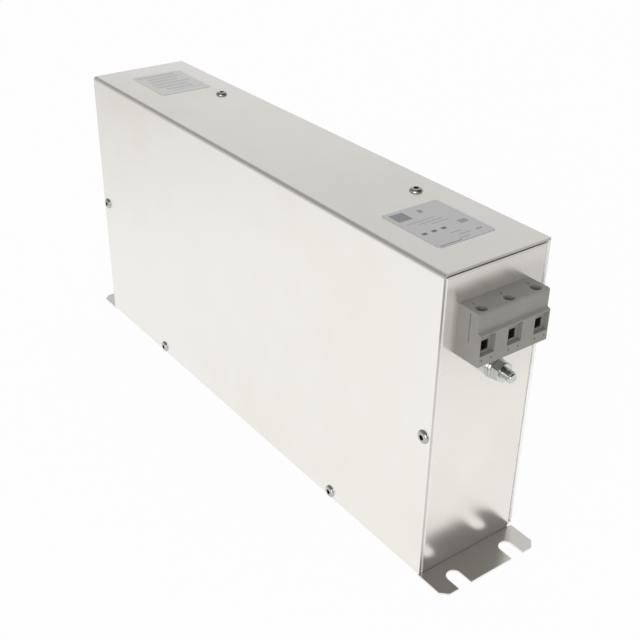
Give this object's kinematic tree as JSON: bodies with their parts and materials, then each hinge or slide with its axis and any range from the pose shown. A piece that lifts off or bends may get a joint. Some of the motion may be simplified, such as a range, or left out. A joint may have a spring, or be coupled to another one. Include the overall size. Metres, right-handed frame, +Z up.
{
  "type": "emi line filter",
  "caption": "Slim upright three-phase EMI line filter in a folded steel case, with slotted base flanges, screw terminal blocks and earth studs.",
  "frame": {"origin": "Centre of the base's underside, on the mounting surface.", "axes": "X along the length, with the line terminals at +X and the load terminals at -X. Y across the width, with the riveted cover side at -Y. Z up."},
  "size_m": [0.3138, 0.0574, 0.1457],
  "materials": {
    "case_steel": "bright tin-plated sheet, soft mirror",
    "terminal_plastic": "moulded grey polyamide",
    "clamp_steel": "zinc-plated pressed steel",
    "screw_steel": "zinc-plated turned steel",
    "contact_brass": "tinned brass",
    "stud_zinc": "bright zinc plate",
    "rivet_steel": "bright rivet heads",
    "label_foil": "satin silver polyester foil",
    "label_film": "satin grey polyester foil",
    "core_coating": "epoxy coating",
    "inner_plastic": "natural polyamide",
    "winding_copper": "enamelled copper wire",
    "board_laminate": "glass-epoxy laminate with solder mask",
    "x_capacitor_box": "moulded box",
    "y_capacitor_box": "moulded box",
    "resistor_body": "lacquered body",
    "spacer_brass": "turned brass",
    "liner_film": "polyester film"
  },
  "bodies": {
    "root": {"chassis": "case_steel", "cover": "case_steel", "line_end_panel": "case_steel", "load_end_panel": "case_steel", "line_terminal_housing": "terminal_plastic", "line_terminal_clamps": "clamp_steel", "line_terminal_screws": "screw_steel", "line_terminal_bars": "contact_brass", "load_terminal_housing": "terminal_plastic", "load_terminal_clamps": "clamp_steel", "load_terminal_screws": "screw_steel", "load_terminal_bars": "contact_brass", "line_earth_stud": "stud_zinc", "line_earth_washer": "stud_zinc", "line_earth_lock_washer": "stud_zinc", "line_earth_nut": "stud_zinc", "load_earth_stud": "stud_zinc", "load_earth_washer": "stud_zinc", "load_earth_lock_washer": "stud_zinc", "load_earth_nut": "stud_zinc", "top_rivets": "rivet_steel", "side_rivets": "rivet_steel", "end_rivets": "rivet_steel", "rating_label": "label_foil", "connection_label": "label_film", "line_choke_core": "core_coating", "line_choke_divider": "inner_plastic", "line_choke_cradle": "inner_plastic", "line_winding_l1": "winding_copper", "line_winding_l2": "winding_copper", "line_winding_l3": "winding_copper", "load_choke_core": "core_coating", "load_choke_divider": "inner_plastic", "load_choke_cradle": "inner_plastic", "load_winding_l1": "winding_copper", "load_winding_l2": "winding_copper", "load_winding_l3": "winding_copper", "capacitor_board": "board_laminate", "x_capacitors": "x_capacitor_box", "y_capacitors": "y_capacitor_box", "discharge_resistors": "resistor_body", "board_spacers": "spacer_brass", "board_screws": "screw_steel", "insulating_liner": "liner_film"}
  },
  "joints": []
}
